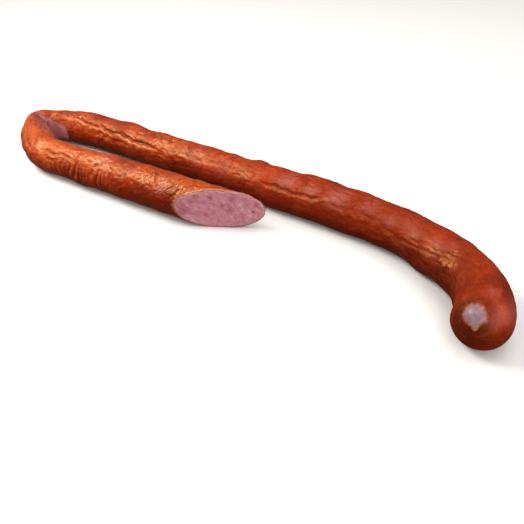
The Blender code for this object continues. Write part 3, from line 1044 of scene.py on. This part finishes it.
def makeCutFace(material):
    # rays from the middle of the cut to the casing's edge, with rows that stand closer toward it,
    # raised along the cut's normal
    columns, rows = meat["columns"], meat["rows"]
    around = ringAngles(columns)
    outline = cutOutline(around)
    middle = outline.mean(axis=0)
    reach = np.linalg.norm(outline - middle, axis=1)
    edge = 1.0 - (1.0 - cut["overlap"]) * edgeWidth(around) / reach
    share = np.linspace(0.0, 1.0, rows + 1)[1:] ** 0.8
    flat = middle + (outline - middle) * (share[:, None] * edge)[:, :, None]
    across = (flat - cutPlace) @ cutDirection
    up = flat[:, :, 2]
    fromEdge = (1.0 - share[:, None]) * reach * edge

    height = meat["bulge"] * ease(fromEdge / meat["bulgeReach"])
    fromRim = ease(fromEdge / meat["grainReach"])
    for number, (size, rise) in enumerate(meat["grainSizes"]):
        height = height + rise * flatNoise(across, up, size, 40 + number) * fromRim
    rng = np.random.default_rng(52)
    for _ in range(meat["pits"]):
        x, y, size = (rng.uniform(*ends) for ends in (*meat["pitPlaces"], meat["pitSize"]))
        height = height - meat["pitDepth"] * bell(np.hypot(across - x, up - y), size)
    lean = spots(across, up, meat["lean"])
    fat = spots(across, up, meat["fat"])
    x, y, size, depth = meat["hole"]
    hollow = bell(np.hypot(across - x, up - y), size)
    drop, dropReach = meat["rimDrop"]
    height = height - depth * hollow - drop * (1.0 - ease(fromEdge / dropReach))
    face = flat + cutNormal * height[:, :, None]

    behind = middle + (flat[-1] - middle) * cut["taper"] + inside * cut["sliceDepth"]
    centre = middle + cutNormal * height[0].mean()
    tips = (centre[None], behind.mean(axis=0)[None])
    points = np.concatenate((face[::-1].reshape(-1, 3), behind, *tips))
    # the points are stored from the rim inward, and the grid runs outward, then behind
    order = np.concatenate((np.arange(rows)[::-1], [rows]))
    corner = order[:, None] * columns + np.arange(columns)
    faceSets = [
        ringFaces(corner, (1, 2, 3, 0)),
        fanFaces(corner[0], (rows + 1) * columns, outward=False),
        fanFaces(corner[-1], (rows + 1) * columns + 1),
    ]
    values = {"fromEdge": fromEdge, "hollow": hollow, "lean": lean, "fat": fat}
    padded = {
        label: np.concatenate((v[::-1].ravel(), np.zeros(columns), (v[0].mean(), 0.0)))
        for label, v in values.items()
    }
    return buildMesh("cutMeat", points, faceSets, material, padded)


# The pale gathered end

paleEnd = {
    "columns": 120,
    "rows": 30,
    "reach": 27.5,  # degrees of the ball
    "tail": 10.0,  # degrees more where the gathered casing was snipped
    "tailTurn": -62.0,  # degrees round the knot
    "tailBreadth": 46.0,
    "waves": ((3.0, 2.0, 0.04), (5.0, 1.0, 0.018)),  # of its outline: waves round, phase, height
    "notches": ((-126.0, 40.0, 0.10), (-26.0, 46.0, 0.14)),  # turn, breadth, depth in reaches
    "lift": 0.0008,  # how far it stands up in the middle
    "sunk": 0.0002,  # how far its edge goes down
    "back": 0.0020,
    "foldHeight": 0.00005,
    "folds": 9,
    "foldSway": 1.2,  # radians that they lean to and fro
}


def makePaleEnd(material):
    # a small cap on the ball: rays round the knot's axis to a wavy outline
    columns, rows = paleEnd["columns"], paleEnd["rows"]
    spin = np.linspace(-np.pi, np.pi, columns, endpoint=False)
    share = np.linspace(0.0, 1.0, rows + 1)[1:]
    tail = hump(turnFrom(spin, paleEnd["tailTurn"]), paleEnd["tailBreadth"])
    outline = paleEnd["reach"] * sines(spin, paleEnd["waves"], 1.0)
    for turn, breadth, depth in paleEnd["notches"]:
        outline = outline - depth * paleEnd["reach"] * hump(turnFrom(spin, turn), breadth)
    outline = outline + paleEnd["tail"] * tail
    off = np.radians(share[:, None] * outline)
    axis, level, upright = knotAxes()
    around = level * np.cos(spin)[:, None] + upright * np.sin(spin)[:, None]
    ray = axis * np.cos(off)[..., None] + around * np.sin(off)[..., None]

    sway = paleEnd["foldSway"] * np.sin(2.0 * spin)
    folds = paleEnd["foldHeight"] * np.cos(paleEnd["folds"] * spin + sway)
    folds = folds * ease((share - 0.4) / 0.6)[:, None]
    share = share[:, None]
    lift = paleEnd["lift"] * (1.0 - share**3) * (1.0 - 0.35 * tail) - paleEnd["sunk"] + folds
    face = onBall(ray, lift)
    behind = onBall(ray[-1], np.full(columns, -paleEnd["back"]))
    centre = onBall(axis[None], np.array([paleEnd["lift"] - paleEnd["sunk"]]))
    backCentre = onBall(axis[None], np.array([-paleEnd["back"]]))
    points = np.concatenate((centre, face.reshape(-1, 3), behind, backCentre))

    corner = np.arange((rows + 1) * columns).reshape(rows + 1, columns) + 1
    faceSets = [
        ringFaces(corner, (0, 3, 2, 1)),
        fanFaces(corner[0], 0),
        fanFaces(corner[-1], len(points) - 1, outward=False),
    ]
    # warmer on the tail and near the edge, and smoked at the edge but for the tail
    warmth = np.maximum(tail * ease((share - 0.56) / 0.25), 0.45 * ease((share - 0.50) / 0.35))
    smoked = (1.0 - 0.7 * tail) * ease((share - 0.60 - 0.05 * np.sin(11.0 * spin)) / 0.34)
    values = {"warmth": warmth, "smoked": smoked}
    padded = {k: np.concatenate(([0.0], v.ravel(), v[-1], [0.0])) for k, v in values.items()}
    return buildMesh("paleEnd", points, faceSets, material, padded)


def onBall(ray, lift):
    # rays of (forward, left, up) from the middle of the round end to the casing, and on by the lift
    along = sausage["length"] - endRadius + endRadius * ray[..., 0]
    around = np.arctan2(ray[..., 2], ray[..., 1])
    place = casingPoint(along, around, fullRelief(along, around)[0])
    direction = heading(along)
    x = ray[..., 0] * np.cos(direction) - ray[..., 1] * np.sin(direction)
    y = ray[..., 0] * np.sin(direction) + ray[..., 1] * np.cos(direction)
    return place + np.stack((x, y, ray[..., 2]), axis=-1) * lift[..., None]


# Camera, light and table

camera = {
    "location": (0.291738, -0.30853, 0.243),
    "azimuth": 128.289,  # degrees from +X in which it looks
    "elevation": -35.382,
    "roll": -2.279,
    "lens": 40.0,
    "sensor": 36.0,
}


def placeObject(data, axes, location):  # axes are the object's own X, Y and Z
    placed = bpy.data.objects.new(data.name, data)
    turned = Matrix(axes).transposed().to_4x4()
    turned.translation = location
    placed.matrix_world = turned
    bpy.context.scene.collection.objects.link(placed)
    return placed


def makeCamera():
    # the level right hand and the up direction, turned about the view by the roll
    azimuth, elevation, roll = (radians(camera[k]) for k in ("azimuth", "elevation", "roll"))
    forward = np.array((cos(azimuth) * cos(elevation), sin(azimuth) * cos(elevation), sin(elevation)))
    level = np.array((sin(azimuth), -cos(azimuth), 0.0))
    upright = np.cross(level, forward)
    right = cos(roll) * level + sin(roll) * upright
    up = cos(roll) * upright - sin(roll) * level
    data = bpy.data.cameras.new("camera")
    data.lens = camera["lens"]
    data.sensor_width = camera["sensor"]
    data.sensor_fit = "HORIZONTAL"
    data.clip_start = 0.01
    data.clip_end = 50.0
    bpy.context.scene.camera = placeObject(data, (right, up, -forward), camera["location"])


lights = {
    # direction from the middle of the sausage, distance, side of the square, watts, colour
    "window": ((-0.64, -0.25, 0.73), 1.1, 0.5, 11.5, (1.0, 0.95, 0.88)),
    "overhead": ((0.2, 0.3, 0.93), 1.3, 0.9, 4.0, (1.0, 0.98, 0.96)),
    "side": ((0.8, -0.55, 0.3), 1.5, 1.2, 13.5, (1.0, 0.97, 0.95)),
}

table = {
    "side": 8.0,
    "depth": 0.0002,  # how far its top lies under the sausage
    "finish": {
        "Base Color": (0.85, 0.85, 0.85, 1.0),
        "Emission Color": (0.85, 0.85, 0.85, 1.0),
        "Roughness": 0.6,
        "Specular IOR Level": 0.2,
    },
    "glow": 0.45,
    "shadowReach": 0.07,  # how far the sausage's shade spreads
}
surroundings = {"below": (0.08, 0.050, 0.038), "above": (0.19, 0.165, 0.14), "strength": 1.0}


def makeLights():
    for label, (toward, distance, side, watts, colour) in lights.items():
        data = bpy.data.lights.new(label, "AREA")
        data.shape = "SQUARE"
        data.size = side
        data.energy = watts
        data.color = colour
        toward = np.array(toward) / np.linalg.norm(toward)
        right = np.cross((0.0, 0.0, 1.0), toward)
        right /= np.linalg.norm(right)
        placeObject(data, (right, np.cross(toward, right), toward), toward * distance)
    # the surroundings: one colour from below, one from above, blended over the level
    world = bpy.data.worlds.new("surroundings")
    world.use_nodes = True
    tree = world.node_tree
    background = tree.nodes["Background"]
    direction = put(tree, "ShaderNodeTexCoord").outputs["Generated"]
    height = put(tree, "ShaderNodeSeparateXYZ", Vector=direction).outputs["Z"]
    upward = spread(height, -0.25, 0.25)
    sky = blendColours(tree, upward, surroundings["below"], surroundings["above"])
    feed(background.inputs["Color"], sky)
    background.inputs["Strength"].default_value = surroundings["strength"]
    bpy.context.scene.world = world


def makeTable():
    half = 0.5 * table["side"]
    corners = np.array(((-half, -half), (half, -half), (half, half), (-half, half)))
    points = np.column_stack((corners, np.full(4, -table["depth"])))
    material, tree, shader = newMaterial("paleTable", table["finish"])
    reach = table["shadowReach"]
    # the glow is dimmed by ambient occlusion near the sausage: a painted shadow
    shadow = put(tree, "ShaderNodeAmbientOcclusion", {"samples": 8}, Distance=reach).outputs["AO"]
    glow = times(spread(shadow, 0.0, 1.0), table["glow"])
    feed(shader.inputs["Emission Strength"], glow)
    top = buildMesh("tableTop", points, [np.array([[0, 1, 2, 3]])], material)
    top.visible_diffuse = False  # the underside is lit by the lower half of the surroundings
    top.visible_glossy = False


makeCamera()
makeLights()
makeTable()
bpy.context.scene.view_settings.view_transform = "Standard"
print("camera, light and table set")

pieces = (
    (makeCasing(casingMaterial()), "smoked_casing"),
    (makeCutFace(meatMaterial()), "cut_meat"),
    (makePaleEnd(knotMaterial()), "pale_knot"),
)
for piece, slot in pieces:
    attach(piece, "root")
    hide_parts("kielbasa")
    print(piece.name, len(piece.data.polygons), "faces")
